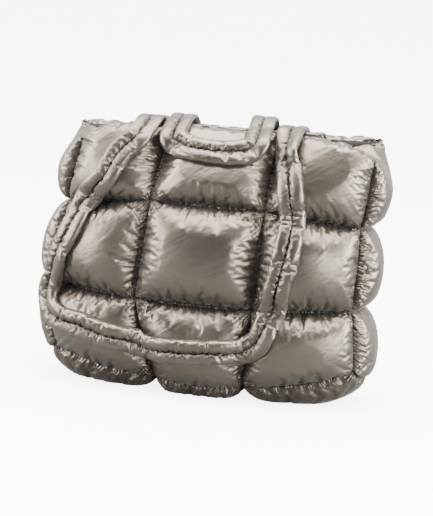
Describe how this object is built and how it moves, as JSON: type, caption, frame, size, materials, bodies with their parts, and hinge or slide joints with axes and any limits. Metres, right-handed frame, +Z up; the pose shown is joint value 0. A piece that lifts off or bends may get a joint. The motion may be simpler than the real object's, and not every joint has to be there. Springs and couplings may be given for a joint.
{
  "type": "puffer tote bag",
  "caption": "Padded tote bag with square quilted puffs, a narrow open mouth and long padded shoulder straps draped over it.",
  "frame": {"origin": "on the floor under the middle of the bag, on the flat underside of the bottom's middle puff", "axes": "+X to the right as seen from the front, +Y to the back, +Z up"},
  "size_m": [0.4444, 0.1848, 0.3509],
  "materials": {
    "panel_nylon": "glossy metallic pewter",
    "facing_nylon": "glossy metallic pewter",
    "strap_nylon": "glossy metallic pewter"
  },
  "bodies": {
    "root": {"front_panel": "panel_nylon", "back_panel": "panel_nylon", "side_gusset_left": "panel_nylon", "side_gusset_right": "panel_nylon", "bottom_panel": "panel_nylon", "mouth_facing_front": "facing_nylon", "mouth_facing_back": "facing_nylon", "strap_front": "strap_nylon", "strap_back": "strap_nylon"}
  },
  "joints": []
}
